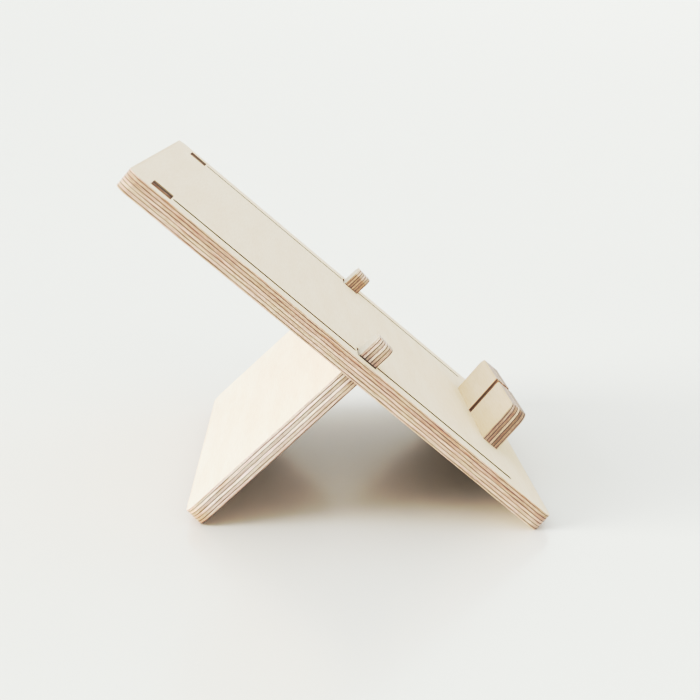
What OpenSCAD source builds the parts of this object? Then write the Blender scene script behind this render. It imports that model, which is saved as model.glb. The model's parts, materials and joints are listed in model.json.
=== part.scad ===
// Plywood tablet stand: a slotted back panel, a plug-in rear leg and a ledge with a cable gap.
// It stands on the floor plane z = 0. +X is the front, where the tablet faces, and Y is the width.
// The origin is on the floor, under the middle of the stand.

/* [Plywood sheet] */
// Thickness of the sheet that every piece is cut from
sheet_t = 9; // [8:0.5:10]

/* [Back panel] */
// Length of the panel, from its bottom end to its top end
panel_l = 232.5; // [225:0.5:260]
// Width of the panel
panel_w = 215; // [190:1:240]
// Radius of the corners of the panel and of the leg's foot
corner_r = 6; // [2:0.5:7]
// Height planed off the panel's lower back edge, so that it sits flat on the floor
foot_flat = 1.2; // [0.4:0.1:2]

/* [Leg slots] */
// Distance from the panel's bottom end to the middle of the lower pair of slots
slot_u = 105.4; // [95:0.1:115]
// Distance from the panel's top end to the middle of the upper pair of slots
slot_top = 15.1; // [12:0.1:60]
// Room left in a slot beside its tab, on the side nearer the panel's side
room_out = 2.8; // [0.3:0.1:4]
// Room left in a slot beside its tab, on the side nearer the panel's middle
room_in = 0.4; // [0.2:0.1:3]
// Play left at each of the two edges of a slot that the leg jams against
slot_play = 0.1; // [0.05:0.01:0.3]

/* [Grooves] */
// Distance from the panel's side to the middle of the groove
groove_side = 14.5; // [12:0.1:17]
// Width of the groove
groove_w = 2.8; // [1:0.1:4]
// Depth of the groove in the front face
groove_d = 3; // [1:0.5:5]
// Distance from the panel's bottom end to the lower end of the groove
groove_start = 20.7; // [12:0.1:40]
// Land left between a groove and a slot
groove_land = 0.6; // [0.4:0.1:3]

/* [Rear leg] */
// Length from the leg's foot to the point where it crosses the middle of the panel
leg_reach = 100; // [90:0.5:115]
// Angle by which the leg leans from square to the panel when it jams in the slots
leg_tilt = 6.8; // [4:0.1:9]
// Distance from the panel's side to the leg's side
leg_inset = 11; // [10:0.1:14]
// Width of a tab
tab_w = 11.8; // [9:0.1:11.8]
// Length of a tab, past the middle of the panel
tab_reach = 15.3; // [12:0.1:20]
// Radius of the tab's corners
tab_r = 3.5; // [1:0.5:4]
// Gap between the leg's shoulder and the panel's back when the leg is pushed home
stop_gap = 0.2; // [0.1:0.1:0.5]

/* [Ledge] */
// Distance from the panel's bottom end to the face that the tablet's edge rests on
ledge_u = 28.8; // [25:0.1:45]
// Width of the ledge
ledge_w = 96; // [70:1:130]
// Length of the ledge, in front of the panel
ledge_h = 21.6; // [15:0.1:26]
// Radius of the ledge's outer corners
ledge_r = 4.5; // [2:0.5:6]
// Width of the cable gap in the middle of the ledge
cable_gap = 5.5; // [5:0.5:14]
// Radius of the two corners at the mouth of the cable gap
mouth_r = 1.5; // [0.5:0.5:2]
// Width of the shoulder at each end of the ledge, beside the tenon in the panel
ledge_shoulder = 6; // [3:1:12]

/* [Hidden] */
$fn = 64;
EPS = 1;

// A slot is long enough for the sheet to lean by leg_tilt before it jams on two opposite edges.
slot_l = (sheet_t * (1 + sin(leg_tilt)) + 2 * slot_play) / cos(leg_tilt);
slot_centres = [slot_u, panel_l - slot_top];
slot_w = tab_w + room_in + room_out;

// Both the panel's flat foot and the leg's lower edge lie on the floor, which sets the panel's slope.
panel_arm = slot_u + leg_reach * sin(leg_tilt) - sheet_t / 2 * cos(leg_tilt);
leg_arm = leg_reach * cos(leg_tilt) - sheet_t / 2 * (1 - sin(leg_tilt));
panel_slope = atan(leg_arm / panel_arm) + asin(foot_flat / norm([panel_arm, leg_arm]));
leg_slope = 90 - panel_slope - leg_tilt;

// Places along X. The panel's bottom back corner would be at foot_x, below the floor by foot_flat.
foot_x = (panel_l * cos(panel_slope) - sheet_t * sin(panel_slope)) / 2;
crossing_x = foot_x - slot_u * cos(panel_slope) + sheet_t / 2 * sin(panel_slope);
leg_foot_x = crossing_x - leg_reach * cos(leg_slope) + sheet_t / 2 * sin(leg_slope);

leg_w = panel_w - 2 * leg_inset;
leg_l = leg_reach + tab_reach;
tenon_w = ledge_w - 2 * ledge_shoulder;
// The shoulder between the tabs stops on the panel's back.
shoulder_l = leg_reach - (sheet_t / 2 * (1 + sin(leg_tilt)) + stop_gap) / cos(leg_tilt);

// The panel's own frame: x up the slope from the bottom end, y across, z from the back face.
module on_panel() {
    translate([foot_x, 0, -foot_flat]) rotate([0, -panel_slope, 180]) children();
}

// The leg's own frame: x up the leg from its foot, y across, z from its underside.
module on_leg() {
    translate([leg_foot_x, 0, 0]) rotate([0, -leg_slope, 0]) children();
}

// Copies a shape to both sides of the middle.
module both_sides() {
    for (side = [0, 1]) mirror([0, side, 0]) children();
}

// What is cut off a square corner to round it, from the arc's centre towards +x and +y.
module corner_waste(r) {
    difference() {
        square(r + EPS);
        circle(r);
    }
}

// A flat outline from x = 0 to x = length, with rounded corners at either end or at both.
module rounded_outline(length, width, near_r = 0, far_r = 0) {
    difference() {
        translate([0, -width / 2]) square([length, width]);
        both_sides() {
            if (near_r > 0)
                translate([near_r, width / 2 - near_r]) mirror([1, 0, 0]) corner_waste(near_r);
            if (far_r > 0)
                translate([length - far_r, width / 2 - far_r]) corner_waste(far_r);
        }
    }
}

// A slot through the panel, for one tab of the leg.
module leg_slot(u) {
    translate([u - slot_l / 2, leg_w / 2 + room_out - slot_w, -EPS])
        cube([slot_l, slot_w, sheet_t + 2 * EPS]);
}

// A round-ended groove in the panel's front face, between two distances from its bottom end.
module groove(u_low, u_high) {
    translate([0, panel_w / 2 - groove_side, sheet_t - groove_d]) {
        translate([u_low + groove_w / 2, -groove_w / 2, 0])
            cube([u_high - u_low - groove_w, groove_w, groove_d + EPS]);
        for (u = [u_low + groove_w / 2, u_high - groove_w / 2])
            translate([u, 0, 0]) cylinder(d = groove_w, h = groove_d + EPS);
    }
}

// The ledge's tenon goes right through the panel and fills this mortise.
module ledge_mortise() {
    translate([ledge_u - sheet_t, -tenon_w / 2, -EPS]) cube([sheet_t, tenon_w, sheet_t + 2 * EPS]);
}

module back_panel() {
    color("wheat") difference() {
        on_panel() difference() {
            linear_extrude(sheet_t)
                rounded_outline(panel_l, panel_w, near_r = corner_r, far_r = corner_r);
            both_sides() {
                for (u = slot_centres) leg_slot(u);
                groove(groove_start, slot_centres[0] - slot_l / 2 - groove_land);
                groove(slot_centres[0] + slot_l / 2 + groove_land,
                       slot_centres[1] - slot_l / 2 - groove_land);
            }
            ledge_mortise();
        }
        // The flat foot: what would be below the floor is planed off.
        translate([foot_x - sheet_t, -panel_w, -sheet_t]) cube([2 * sheet_t, 2 * panel_w, sheet_t]);
    }
}

// One of the two tabs at the top of the leg, with its outer side in line with the leg's side.
module tab_outline() {
    translate([shoulder_l - EPS, leg_w / 2 - tab_w / 2])
        rounded_outline(leg_l - shoulder_l + EPS, tab_w, far_r = tab_r);
}

module rear_leg() {
    color("blanchedalmond") on_leg() linear_extrude(sheet_t) {
        rounded_outline(shoulder_l, leg_w, near_r = corner_r);
        both_sides() tab_outline();
    }
}

// Drawn with x away from the panel's back face, so the tenon is the first sheet_t of it.
module ledge_outline() {
    tip = sheet_t + ledge_h;
    difference() {
        union() {
            translate([0, -tenon_w / 2]) square([sheet_t + EPS, tenon_w]);
            translate([sheet_t, 0]) rounded_outline(ledge_h, ledge_w, far_r = ledge_r);
        }
        translate([sheet_t, -cable_gap / 2]) square([ledge_h + EPS, cable_gap]);
        both_sides()
            translate([tip - mouth_r, cable_gap / 2 + mouth_r]) mirror([0, 1, 0]) corner_waste(mouth_r);
    }
}

module ledge() {
    color("burlywood") on_panel()
        translate([ledge_u, 0, 0]) rotate([0, -90, 0]) linear_extrude(sheet_t) ledge_outline();
}

back_panel();
rear_leg();
ledge();
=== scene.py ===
import json
import math
from collections import namedtuple

import bpy
from mathutils import Matrix, Vector

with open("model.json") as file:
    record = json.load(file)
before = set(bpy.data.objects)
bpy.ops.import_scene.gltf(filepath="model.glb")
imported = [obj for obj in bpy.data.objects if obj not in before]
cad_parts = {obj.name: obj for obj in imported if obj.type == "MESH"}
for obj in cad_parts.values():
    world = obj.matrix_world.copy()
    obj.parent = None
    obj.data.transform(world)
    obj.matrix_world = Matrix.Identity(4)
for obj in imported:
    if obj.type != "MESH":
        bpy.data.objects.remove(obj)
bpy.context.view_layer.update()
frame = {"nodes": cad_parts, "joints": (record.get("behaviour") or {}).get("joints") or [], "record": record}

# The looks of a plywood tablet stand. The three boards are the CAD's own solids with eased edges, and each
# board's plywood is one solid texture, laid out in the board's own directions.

MM = 0.001

# Camera: its place in metres, how far it looks down, turns right and rolls, and its lens in mm
CAMERA_AT = (-0.01587, -0.60603, 0.19494)
CAMERA_PITCH = math.radians(12.79)
CAMERA_YAW = math.radians(2.225)
CAMERA_ROLL = math.radians(-0.118)
CAMERA_LENS = 63.03
CAMERA_SENSOR = 36

# Floor, in metres: a round one, flat as far as FLOOR_FLAT, that rises by FLOOR_RISE up to FLOOR_REACH
FLOOR_FLAT = 1.6
FLOOR_REACH = 6.5
FLOOR_RISE = 0.8
FLAT_RINGS = (0.5, 1.0)
RISING_RINGS = 16
FLOOR_SPOKES = 96
FLOOR_COLOR = (0.75, 0.758, 0.735)
CLOUD_COLOR = (0.70, 0.705, 0.675)
CLOUD_SCALE = (4, 4, 4)
CLOUD_SHARE = 0.05

# Light: a sky, and wide, soft suns with the direction each shines from, its width in degrees and strength
SKY_COLOR = (0.985, 1.0, 0.97)
SKY_STRENGTH = 0.86
LAMPS = [
    ("window", (-2.2, -0.5, 0.85), 36, 2.43),
    ("fill", (0.7, -2.3, 0.6), 38, 0.5),
]
# Tone curve: the level of light that is shown as white, and levels in and out, all of them linear
TONE_WHITE = 1.3
TONE_CURVE = [(0.15, 0.15), (0.30, 0.41), (0.45, 0.60), (0.60, 0.71), (0.80, 0.82), (1.00, 0.92)]

# Plywood, in mm: a sheet of seven plies, the two outer ones thin
PLY = 1.5
FACE_PLY = 0.75
SHEET = 9.0
# How much deeper the leg's plies lie than those of an even sheet, in mm
LEG_PLIES_DEEPER = 0.45
# How far a glue line wavers to each side, and how far the streaks jump from one ply to the next, in mm
WAVER = 0.22
PLY_JUMP = 7.3
# Height of the grain, and radius of the eased edges, in mm
BUMP = 0.05
EASED = 0.22
# Points of the CAD mesh this near are one, in mm, and the angles of a flat edge and a sharp one, in degrees
SAME_POINT = 0.001
FLAT_ANGLE = 0.5
SHARP_ANGLE = 40

# Where looks start and where they are full, in mm. A glue line, from its middle:
GLUE = (0.22, 0.11)
# Worn rims, and the painted shade on the sides of cut-outs, inwards from the board's outline
WORN_RIM = (1.4, 0.2)
CUTOUT_SHADE = (2.5, 3.3)
# Stains on a cut edge, which are weaker away from the show face
STAIN_DEPTH = (5.0, 1.0)
# The painted shade in the groove, past its walls, below the face and past its floor
GROOVE_SHADE_WALL = (0.3, 0.15)
GROOVE_SHADE_TOP = (0.0, 0.12)
GROOVE_SHADE_FLOOR = (0.4, 0.2)
# The painted shade on a tab's sides in the slot's mouth, from above and from below, with the panel's face at
# 0
MOUTH_SHADE_TOP = (0.25, 0.05)
MOUTH_SHADE_BOTTOM = (-2.2, -1.2)
# The darker part around the leg's tabs, past its top end, and the painted shade at its foot, from its bottom
# end
TAB_DARKENING = (-26, -22)
FOOT_SHADE = (12, 1)
# The painted shade on the sides of the cable gap, from the ledge's middle
GAP_SHADE = (4.0, 3.0)

# Noise patterns: features per mm along the board, across it and inwards, and a shift that keeps each apart.
# Their values are mostly between 0.2 and 0.8.
Grain = namedtuple("Grain", "scale shift detail roughness")
WANDER = Grain((0.035, 0.035, 0.0), 0, 2.0, 0.5)
STAIN = Grain((0.07, 0.07, 1.3), 3, 3.0, 0.6)
LINES = Grain((0.09, 0.09, 2.6), 9, 3.0, 0.6)
FINE = Grain((0.30, 0.30, 5.0), 13, 3.0, 0.65)
PORES = Grain((1.5, 1.5, 3.0), 1, 2.0, 0.7)
HUE = Grain((0.10, 0.10, 0.7), 21, 2.0, 0.6)
MOTTLE = Grain((0.9, 0.9, 2.2), 17, 2.0, 0.8)
FIBRES = Grain((2.6, 0.07, 0.0), 5, 3.0, 0.6)
BANDS = Grain((0.12, 0.012, 0.0), 7, 3.0, 0.55)
FLECKS = Grain((2.2, 0.35, 0.0), 2, 2.0, 0.5)

# Wood colours. The tints multiply the colour under them, and the others are mixed into it.
GLUE_COLOR = (0.055, 0.045, 0.04)
# The dark colour of the painted shade in the groove and in the slots' mouths
PAINTED_SHADE_COLOR = (0.09, 0.055, 0.03)
END_GRAIN_TINT = (0.90, 0.88, 0.86)
LINE_TINT = (0.70, 0.64, 0.60)
STAIN_TINT = (0.82, 0.62, 0.56)
PALE_FIBRE = (0.92, 0.84, 0.72)
MOTTLE_TINT = (0.80, 0.80, 0.81)
PINK_TINT = (1.0, 0.925, 0.965)
STRAW_TINT = (0.99, 0.995, 0.965)
PORE_COLOR = (0.42, 0.29, 0.20)
BAND_TINT = (0.97, 0.94, 0.90)
FIBRE_TINT = (0.92, 0.88, 0.82)
FLECK_TINT = (0.66, 0.54, 0.44)
RIM_TINT = (0.88, 0.80, 0.70)

# The plies' colours, from the show face inwards
LIGHT = (0.79, 0.62, 0.49)
CREAM = (0.76, 0.59, 0.47)
PALE = (0.75, 0.57, 0.45)
WHITE = (0.98, 0.87, 0.77)
GREY = (0.77, 0.66, 0.575)
TAN = (0.64, 0.54, 0.45)
UMBER = (0.41, 0.30, 0.21)
PANEL_PLIES = [LIGHT, (0.64, 0.46, 0.35), (0.69, 0.51, 0.40), PALE, LIGHT, CREAM, LIGHT]
LEG_PLIES = [WHITE, WHITE, GREY, WHITE, (0.82, 0.69, 0.59), (0.76, 0.61, 0.515), (0.69, 0.55, 0.46)]
LEDGE_PLIES = [TAN, TAN, (0.54, 0.41, 0.32), (0.77, 0.63, 0.52), UMBER, (0.52, 0.40, 0.31), TAN]

# Roughness of the wood where its grain is low and where it is high
FACE_ROUGHNESS = (0.50, 0.62)
EDGE_ROUGHNESS = (0.62, 0.82)

# The veneers' colours: the show face and the back. The backs are darker and browner as painted shade of the
# hidden faces, and the leg's show face is paler than the panel's, in part as painted light
PANEL_VENEERS = [(0.785, 0.668, 0.505), (0.72, 0.54, 0.37)]
LEG_VENEERS = [(0.80, 0.75, 0.66), (0.70, 0.49, 0.31)]
LEDGE_VENEERS = [(0.81, 0.66, 0.51), (0.74, 0.64, 0.50)]

# Tints of the cut edges: painted shade in the cut-outs and the cable gap, a darker part near the leg's tabs,
# and warm painted shade at the leg's foot
PANEL_CUTOUT_SHADE_TINT = (0.72, 0.74, 0.70)
LEG_CUTOUT_SHADE_AND_TAB_TINT = (0.72, 0.64, 0.56)
LEG_FOOT_SHADE_TINT = (0.98, 0.77, 0.59)
LEDGE_GAP_SHADE_TINT = (0.72, 0.55, 0.42)


class Plate:
    """A board's own directions: along its length, across its width, and inwards from its show face.

    Its places are in metres, as in its mesh, and its length and half width are in mm.
    """

    def __init__(self, node, along, inwards):
        self.node = node
        self.mesh = frame["nodes"][node].data
        self.along = Vector(along).normalized()
        self.across = Vector((0, 1, 0))
        self.inwards = Vector(inwards).normalized()
        self.start, end = self.span(self.along)
        self.face = self.span(self.inwards)[0]
        self.length = (end - self.start) / MM
        self.half_width = self.span(self.across)[1] / MM

    def span(self, axis):
        """How far the mesh reaches along a direction, in metres: its lowest and highest place."""
        reach = [vertex.co.dot(axis) for vertex in self.mesh.vertices]
        return min(reach), max(reach)


class Nodes:
    """Adds shader nodes to a material. Each value is a number, a vector or another node's output."""

    def __init__(self, material):
        self.tree = material.node_tree
        self.tree.nodes.clear()

    def add(self, kind, *values, output=0, **settings):
        """Adds a node, fills its inputs in order and gives one of its outputs."""
        node = self.tree.nodes.new("ShaderNode" + kind)
        for name, value in settings.items():
            setattr(node, name, value)
        for socket, value in zip([s for s in node.inputs if s.enabled], values):
            self.feed(socket, value)
        return node.outputs[output]

    def feed(self, socket, value):
        if isinstance(value, bpy.types.NodeSocket):
            self.tree.links.new(value, socket)
        elif value is not None:
            socket.default_value = value

    def math(self, operation, *values):
        return self.add("Math", *values, operation=operation)

    def dot(self, vector, axis):
        return self.add("VectorMath", vector, axis, operation="DOT_PRODUCT", output="Value")

    def stretched(self, vector, scale, shift=(0, 0, 0)):
        scaled = self.add("VectorMath", vector, scale, operation="MULTIPLY")
        return self.add("VectorMath", scaled, shift, operation="ADD")

    def noise(self, vector, detail, roughness=0.5):
        return self.add("TexNoise", vector, 1.0, detail, roughness, noise_dimensions="3D")

    def step(self, value, start, full, bottom=0.0, top=1.0):
        """Goes smoothly from bottom, where the value is at start, to top, where it is at full."""
        return self.add("MapRange", value, start, full, bottom, top, interpolation_type="SMOOTHSTEP")

    def all_of(self, *masks):
        """Masks multiplied together."""
        mask = masks[0]
        for other in masks[1:]:
            mask = self.math("MULTIPLY", mask, other)
        return mask

    def mix(self, factor, first, second, blend="MIX"):
        """Mixes two colours. The colour sockets come after the node's sockets for other kinds."""
        node = self.tree.nodes.new("ShaderNodeMix")
        node.data_type = "RGBA"
        node.blend_type = blend
        for socket, value in ((0, factor), (6, first), (7, second)):
            self.feed(node.inputs[socket], value)
        return node.outputs[2]

    def tinted(self, color, mask, tint):
        """A colour multiplied by a tint, as far as the mask lets it."""
        return self.mix(mask, color, rgba(tint), "MULTIPLY")

    def principled(self, color, roughness, normal=None, **levels):
        """Ends the material in one Principled shader. A level's name is its socket's, with underscores."""
        shader = self.tree.nodes.new("ShaderNodeBsdfPrincipled")
        for socket, value in (("Base Color", color), ("Roughness", roughness), ("Normal", normal)):
            self.feed(shader.inputs[socket], value)
        for socket, value in levels.items():
            shader.inputs[socket.replace("_", " ")].default_value = value
        output = self.tree.nodes.new("ShaderNodeOutputMaterial")
        self.tree.links.new(shader.outputs[0], output.inputs[0])


def rgba(color):
    return (*color, 1.0)


def past(place, margins):
    """Where a look starts and where it is full, past a place on the board."""
    return [place + margin for margin in margins]


def groove_span(plate):
    """The groove's middle and half width across the board, and its depth, in mm, from its floor's faces."""
    floor = []
    for polygon in plate.mesh.polygons:
        depth = polygon.center.dot(plate.inwards) - plate.face
        facing = polygon.normal.dot(plate.inwards)
        if facing < -0.99 and 0.5 * MM < depth < (SHEET - 0.5) * MM:
            floor.append((polygon, depth))
    reach = [abs(plate.mesh.vertices[i].co.y) for polygon, depth in floor for i in polygon.vertices]
    return (max(reach) + min(reach)) / 2 / MM, (max(reach) - min(reach)) / 2 / MM, floor[0][1] / MM


class Plywood(Nodes):
    """One board's birch plywood: a solid texture laid out in the board's own directions, in mm."""

    def __init__(self, name, plate, seed, plies_deeper=0.0):
        self.material = bpy.data.materials.new(name)
        self.material.use_nodes = True
        super().__init__(self.material)
        self.seed = seed
        self.plies_deeper = plies_deeper
        self.here = self.add("TexCoord", output="Object")
        self.u = self.reach(plate.along, plate.start)
        self.y = self.reach(plate.across, 0)
        self.depth = self.reach(plate.inwards, plate.face)
        self.board = self.add("CombineXYZ", self.u, self.y, self.depth)
        facing = self.add("NewGeometry", output="Normal")
        self.facing_back = self.dot(facing, plate.inwards)
        self.toward_u = self.math("ABSOLUTE", self.dot(facing, plate.along))
        self.toward_y = self.math("ABSOLUTE", self.dot(facing, plate.across))
        self.on_edge = self.step(self.math("ABSOLUTE", self.facing_back), 0.80, 0.45)

        # How far inside the board's outline a point is
        half_length = plate.length / 2
        from_end = self.math("SUBTRACT", half_length, self.distance(self.u, half_length))
        from_side = self.math("SUBTRACT", plate.half_width, self.math("ABSOLUTE", self.y))
        self.inside = self.math("MINIMUM", from_end, from_side)

    def reach(self, axis, start):
        """How far a point is along a direction from start, in mm."""
        return self.math("MULTIPLY_ADD", self.dot(self.here, axis), 1 / MM, -start / MM)

    def distance(self, value, middle):
        return self.math("ABSOLUTE", self.math("SUBTRACT", value, middle))

    def grain(self, pattern, among=None):
        """A noise pattern, stretched over the board or among other places."""
        place = self.stretched(among or self.board, pattern.scale, (self.seed, pattern.shift, 0))
        return self.noise(place, pattern.detail, pattern.roughness)

    def cutout_shade(self):
        """Where a cut edge belongs to a slot, a mortise or a shoulder, well inside the outline, which gets
        painted shade.
        """
        return self.step(self.inside, *CUTOUT_SHADE)

    def cut_edge(self, plies):
        """The plies with their glue lines, which waver a little, and their streaks, stains and pores."""
        waver = self.math("MULTIPLY_ADD", self.grain(WANDER), 2 * WAVER, -WAVER - self.plies_deeper)
        wavy = self.math("ADD", self.depth, waver)
        count = self.math("MULTIPLY_ADD", wavy, 1 / PLY, -FACE_PLY / PLY + 1)
        ply = self.math("FLOOR", count)
        to_glue = self.math("MULTIPLY", self.math("PINGPONG", count, 0.5), PLY)
        end_grain = self.add("Mix", self.math("MODULO", ply, 2), self.toward_y, self.toward_u)

        color = self.add("ValToRGB", self.math("DIVIDE", wavy, SHEET))
        ramp = color.node.color_ramp
        ramp.interpolation = "CONSTANT"
        for index, shade in enumerate(plies):
            stop = ramp.elements[index] if index < 2 else ramp.elements.new(1.0)
            stop.position = 0 if index == 0 else (FACE_PLY + (index - 1) * PLY) / SHEET
            stop.color = rgba(shade)

        # Streaks lie flat in the sheet, and each ply has its own.
        apart = self.add("CombineXYZ", 0, 0, self.math("MULTIPLY", ply, PLY_JUMP))
        layered = self.add("VectorMath", self.board, apart, operation="ADD")
        stain = self.grain(STAIN, layered)
        lines = self.grain(LINES, layered)
        self.fine = self.grain(FINE, layered)
        pores = self.grain(PORES, layered)
        hue = self.grain(HUE, layered)
        mottle = self.grain(MOTTLE, layered)

        color = self.tinted(color, end_grain, END_GRAIN_TINT)
        wood = self.mix(self.step(hue, 0.40, 0.60), rgba(PINK_TINT), rgba(STRAW_TINT))
        color = self.mix(1.0, color, wood, "MULTIPLY")
        color = self.tinted(color, self.step(lines, 0.50, 0.60, 0, 0.75), LINE_TINT)
        stained = self.all_of(self.step(stain, 0.50, 0.68), self.step(self.depth, *STAIN_DEPTH, 0.4, 0.95))
        color = self.tinted(color, stained, STAIN_TINT)
        color = self.tinted(color, self.step(self.fine, 0.45, 0.70, 0, 0.30), LINE_TINT)
        color = self.mix(self.step(self.fine, 0.48, 0.28, 0, 0.45), color, rgba(PALE_FIBRE))
        color = self.tinted(color, self.step(mottle, 0.44, 0.64), MOTTLE_TINT)
        speck = self.all_of(self.step(pores, 0.54, 0.68), self.step(end_grain, 0, 1, 0.35, 0.7))
        color = self.mix(speck, color, rgba(PORE_COLOR))
        glue = self.all_of(self.step(to_glue, *GLUE), self.step(lines, 0.30, 0.62, 0.6, 1.0))
        self.edge_height = self.math("SUBTRACT", self.math("MULTIPLY_ADD", pores, 0.5, self.fine), glue)
        return self.mix(glue, color, rgba(GLUE_COLOR))

    def veneer(self, front, back):
        """The face veneers, whose grain runs across the board, a little worn along the outline."""
        self.fibres = self.grain(FIBRES)
        bands = self.grain(BANDS)
        self.flecks = self.grain(FLECKS)
        # The back veneer is darker and browner as painted shade.
        color = self.mix(self.step(self.facing_back, -0.1, 0.1), rgba(front), rgba(back))
        color = self.tinted(color, self.step(bands, 0.30, 0.70), BAND_TINT)
        color = self.tinted(color, self.step(self.fibres, 0.35, 0.75, 0, 0.7), FIBRE_TINT)
        color = self.tinted(color, self.step(self.flecks, 0.68, 0.80, 0, 0.7), FLECK_TINT)
        worn = self.all_of(self.step(self.inside, *WORN_RIM), self.step(self.fine, 0.3, 0.7))
        return self.tinted(color, worn, RIM_TINT)

    def groove_shade(self, groove):
        """Where the groove's walls and floor get painted shade, apart from its round ends' rims."""
        middle, half, deep = groove
        off = self.distance(self.math("ABSOLUTE", self.y), middle)
        within = self.step(off, *past(half, GROOVE_SHADE_WALL))
        below_face = self.step(self.depth, *GROOVE_SHADE_TOP)
        above_floor = self.step(self.depth, *past(deep, GROOVE_SHADE_FLOOR))
        off_rims = self.step(self.toward_u, 0.97, 0.90)
        return self.all_of(within, below_face, above_floor, off_rims)

    def slot_mouth_shade(self, plane_normal, plane_at):
        """Where a tab's sides get painted shade, in the slot's mouth, from the plane down."""
        above = self.reach(plane_normal, plane_at)
        under_plane = self.step(above, *MOUTH_SHADE_TOP)
        near_plane = self.step(above, *MOUTH_SHADE_BOTTOM)
        on_sides = self.step(self.toward_y, 0.6, 0.9)
        return self.all_of(under_plane, near_plane, on_sides)

    def finish(self, edge, face, painted_shade=None):
        """Puts the cut edges and the faces together, with dark painted shade where there is one."""
        color = self.mix(self.on_edge, face, edge)
        if painted_shade:
            # The dark colour here is painted shade.
            color = self.mix(painted_shade, color, rgba(PAINTED_SHADE_COLOR))
        rough_face = self.step(self.fibres, 0.2, 0.8, *FACE_ROUGHNESS)
        rough_edge = self.step(self.fine, 0.2, 0.8, *EDGE_ROUGHNESS)
        roughness = self.add("Mix", self.on_edge, rough_face, rough_edge)
        face_height = self.math("MULTIPLY_ADD", self.flecks, -0.3, self.fibres)
        height = self.add("Mix", self.on_edge, face_height, self.edge_height)
        bump = self.add("Bump", 0.5, BUMP * MM, None, height)
        self.principled(color, roughness, bump, IOR=1.5, Sheen_Weight=0.35, Sheen_Roughness=0.4)
        return self.material


def panel_plywood(plate):
    """The panel's plywood, darker in its slots and its grooves, as painted shade."""
    n = Plywood("panel_plywood", plate, seed=11.0)
    # The cut-outs' edges are darkened as painted shade.
    edge = n.tinted(n.cut_edge(PANEL_PLIES), n.cutout_shade(), PANEL_CUTOUT_SHADE_TINT)
    # The groove gets a dark painted shade.
    return n.finish(edge, n.veneer(*PANEL_VENEERS), n.groove_shade(groove_span(plate)))


def leg_plywood(plate, plane_normal, plane_at):
    """The leg's plywood, with painted shade where its tabs come out through the plane of the panel's face.
    """
    n = Plywood("leg_plywood", plate, seed=47.0, plies_deeper=LEG_PLIES_DEEPER)
    # The leg's edges are darker towards the tabs.
    near_tabs = n.step(n.u, *past(plate.length, TAB_DARKENING), 0, 0.3)
    # The cut-outs' edges get painted shade, and the edges near the tabs are darker.
    cutout_shade_and_tab_darkening = n.math("MAXIMUM", n.cutout_shade(), near_tabs)
    edge = n.tinted(n.cut_edge(LEG_PLIES), cutout_shade_and_tab_darkening, LEG_CUTOUT_SHADE_AND_TAB_TINT)
    # The foot's edges get a warm painted shade.
    foot_shade_mask = n.step(n.u, *FOOT_SHADE, 0, 0.8)
    edge = n.tinted(edge, foot_shade_mask, LEG_FOOT_SHADE_TINT)
    # The tabs' sides get a dark painted shade in the slots' mouths.
    return n.finish(edge, n.veneer(*LEG_VENEERS), n.slot_mouth_shade(plane_normal, plane_at))


def ledge_plywood(plate):
    """The ledge's plywood, darker in its cable gap, as painted shade."""
    n = Plywood("ledge_plywood", plate, seed=83.0)
    # The cable gap's sides get painted shade.
    gap_shade_mask = n.step(n.math("ABSOLUTE", n.y), *GAP_SHADE)
    edge = n.tinted(n.cut_edge(LEDGE_PLIES), gap_shade_mask, LEDGE_GAP_SHADE_TINT)
    return n.finish(edge, n.veneer(*LEDGE_VENEERS))


def ease_edges(board):
    """Joins the CAD mesh's split edges, merges its flat facets and rounds its sharp edges a little."""
    weld = board.modifiers.new("weld", "WELD")
    weld.merge_threshold = SAME_POINT * MM
    flat = board.modifiers.new("flat", "DECIMATE")
    flat.decimate_type = "DISSOLVE"
    flat.angle_limit = math.radians(FLAT_ANGLE)
    bevel = board.modifiers.new("eased", "BEVEL")
    bevel.width = EASED * MM
    bevel.segments = 2
    bevel.limit_method = "ANGLE"
    bevel.angle_limit = math.radians(SHARP_ANGLE)
    bevel.harden_normals = True


def make_camera():
    """The camera that sees the stand as the photo shows it."""
    data = bpy.data.cameras.new("camera")
    data.lens = CAMERA_LENS
    data.sensor_width = CAMERA_SENSOR
    camera = bpy.data.objects.new("camera", data)
    bpy.context.scene.collection.objects.link(camera)
    turn = Matrix.Rotation(-CAMERA_YAW, 4, "Z")
    tilt = Matrix.Rotation(math.pi / 2 - CAMERA_PITCH, 4, "X")
    roll = Matrix.Rotation(CAMERA_ROLL, 4, "Z")
    camera.matrix_world = Matrix.Translation(CAMERA_AT) @ turn @ tilt @ roll
    bpy.context.scene.camera = camera


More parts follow.
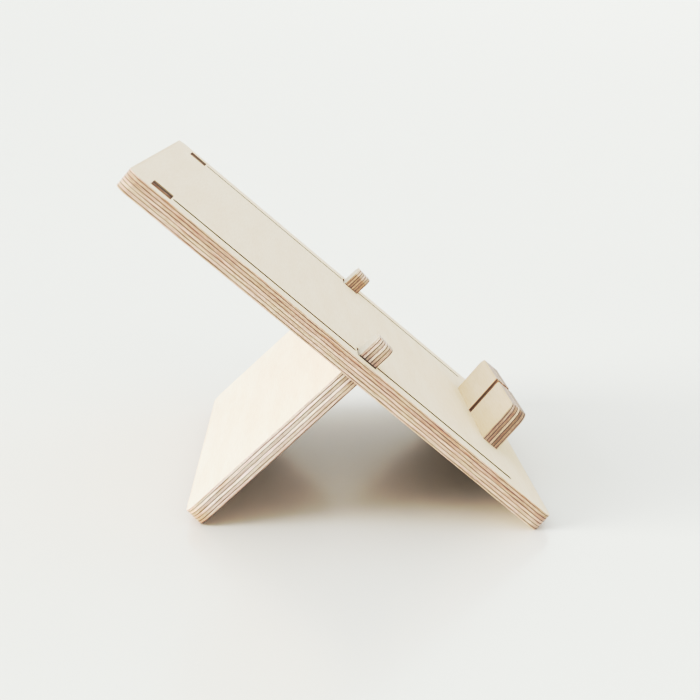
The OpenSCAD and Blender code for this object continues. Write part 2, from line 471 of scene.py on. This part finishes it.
def make_floor():
    """A pale floor that rises gently far from the stand, so that no view shows a horizon."""
    rising = [ring / RISING_RINGS for ring in range(RISING_RINGS + 1)]
    profile = [(r, 0.0) for r in FLAT_RINGS]
    profile += [(FLOOR_FLAT + (FLOOR_REACH - FLOOR_FLAT) * t, FLOOR_RISE * t * t) for t in rising]
    turns = [2 * math.pi * spoke / FLOOR_SPOKES for spoke in range(FLOOR_SPOKES)]
    rings = [[(r * math.cos(turn), r * math.sin(turn), z) for turn in turns] for r, z in profile]
    # Point 0 is the middle, and the rings follow it from the inside out.
    pairs = [(spoke + 1, (spoke + 1) % FLOOR_SPOKES + 1) for spoke in range(FLOOR_SPOKES)]
    faces = [(0, a, b) for a, b in pairs]
    for inner in range(0, (len(rings) - 1) * FLOOR_SPOKES, FLOOR_SPOKES):
        outer = inner + FLOOR_SPOKES
        faces += [(inner + a, outer + a, outer + b, inner + b) for a, b in pairs]
    mesh = bpy.data.meshes.new("floor")
    mesh.from_pydata([(0, 0, 0)] + [point for ring in rings for point in ring], [], faces)
    mesh.shade_smooth()
    floor = bpy.data.objects.new("floor", mesh)
    bpy.context.scene.collection.objects.link(floor)
    material = bpy.data.materials.new("floor_laminate")
    material.use_nodes = True
    n = Nodes(material)
    here = n.add("TexCoord", output="Object")
    cloud = n.noise(n.stretched(here, CLOUD_SCALE), detail=3.0)
    color = n.mix(n.step(cloud, 0.2, 0.8, 0, CLOUD_SHARE), rgba(FLOOR_COLOR), rgba(CLOUD_COLOR))
    n.principled(color, roughness=0.3, IOR=1.5, Coat_Weight=0.45, Coat_Roughness=0.16)
    mesh.materials.append(material)


def make_light():
    """A pale sky and the suns, which the glossy floor doesn't mirror."""
    world = bpy.data.worlds.new("studio")
    bpy.context.scene.world = world
    world.use_nodes = True
    background = world.node_tree.nodes["Background"]
    background.inputs["Color"].default_value = rgba(SKY_COLOR)
    background.inputs["Strength"].default_value = SKY_STRENGTH
    for name, source, width, strength in LAMPS:
        data = bpy.data.lights.new(name, "SUN")
        data.angle = math.radians(width)
        data.energy = strength
        lamp = bpy.data.objects.new(name, data)
        bpy.context.scene.collection.objects.link(lamp)
        lamp.location = source
        lamp.rotation_euler = (-Vector(source)).to_track_quat("-Z", "Y").to_euler()
        lamp.visible_glossy = False


def develop():
    """A photographic tone curve: it lifts the middle tones and rolls the bright ones off."""
    view = bpy.context.scene.view_settings
    view.view_transform = "Standard"
    view.use_curve_mapping = True
    view.curve_mapping.white_level = (TONE_WHITE, TONE_WHITE, TONE_WHITE)
    all_channels = view.curve_mapping.curves[3]
    for tone, shown in TONE_CURVE:
        all_channels.points.new(tone / TONE_WHITE, shown)
    view.curve_mapping.update()


# The boards' directions come from the record's mounts and from the axis that the leg slides along.
mounts = {mount["name"]: mount for mount in frame["record"]["mounts"]}
slide = Vector(frame["joints"][0]["axis"])
panel_normal = Vector(mounts["tablet_rest"]["axis"])
up_slope = Vector(mounts["ledge_rest"]["axis"])
leg_normal = Vector((slide.z, 0, -slide.x))

panel = Plate("back_panel", up_slope, -panel_normal)
leg = Plate("rear_leg", -slide, -leg_normal)
ledge = Plate("ledge", panel_normal, -up_slope)
finishes = [
    (panel, panel_plywood(panel)),
    (leg, leg_plywood(leg, panel_normal, -panel.face)),
    (ledge, ledge_plywood(ledge)),
]
for plate, finish in finishes:
    board = frame["nodes"][plate.node]
    board.material_slots[0].link = "OBJECT"
    board.material_slots[0].material = finish
    ease_edges(board)

make_camera()
make_floor()
make_light()
develop()
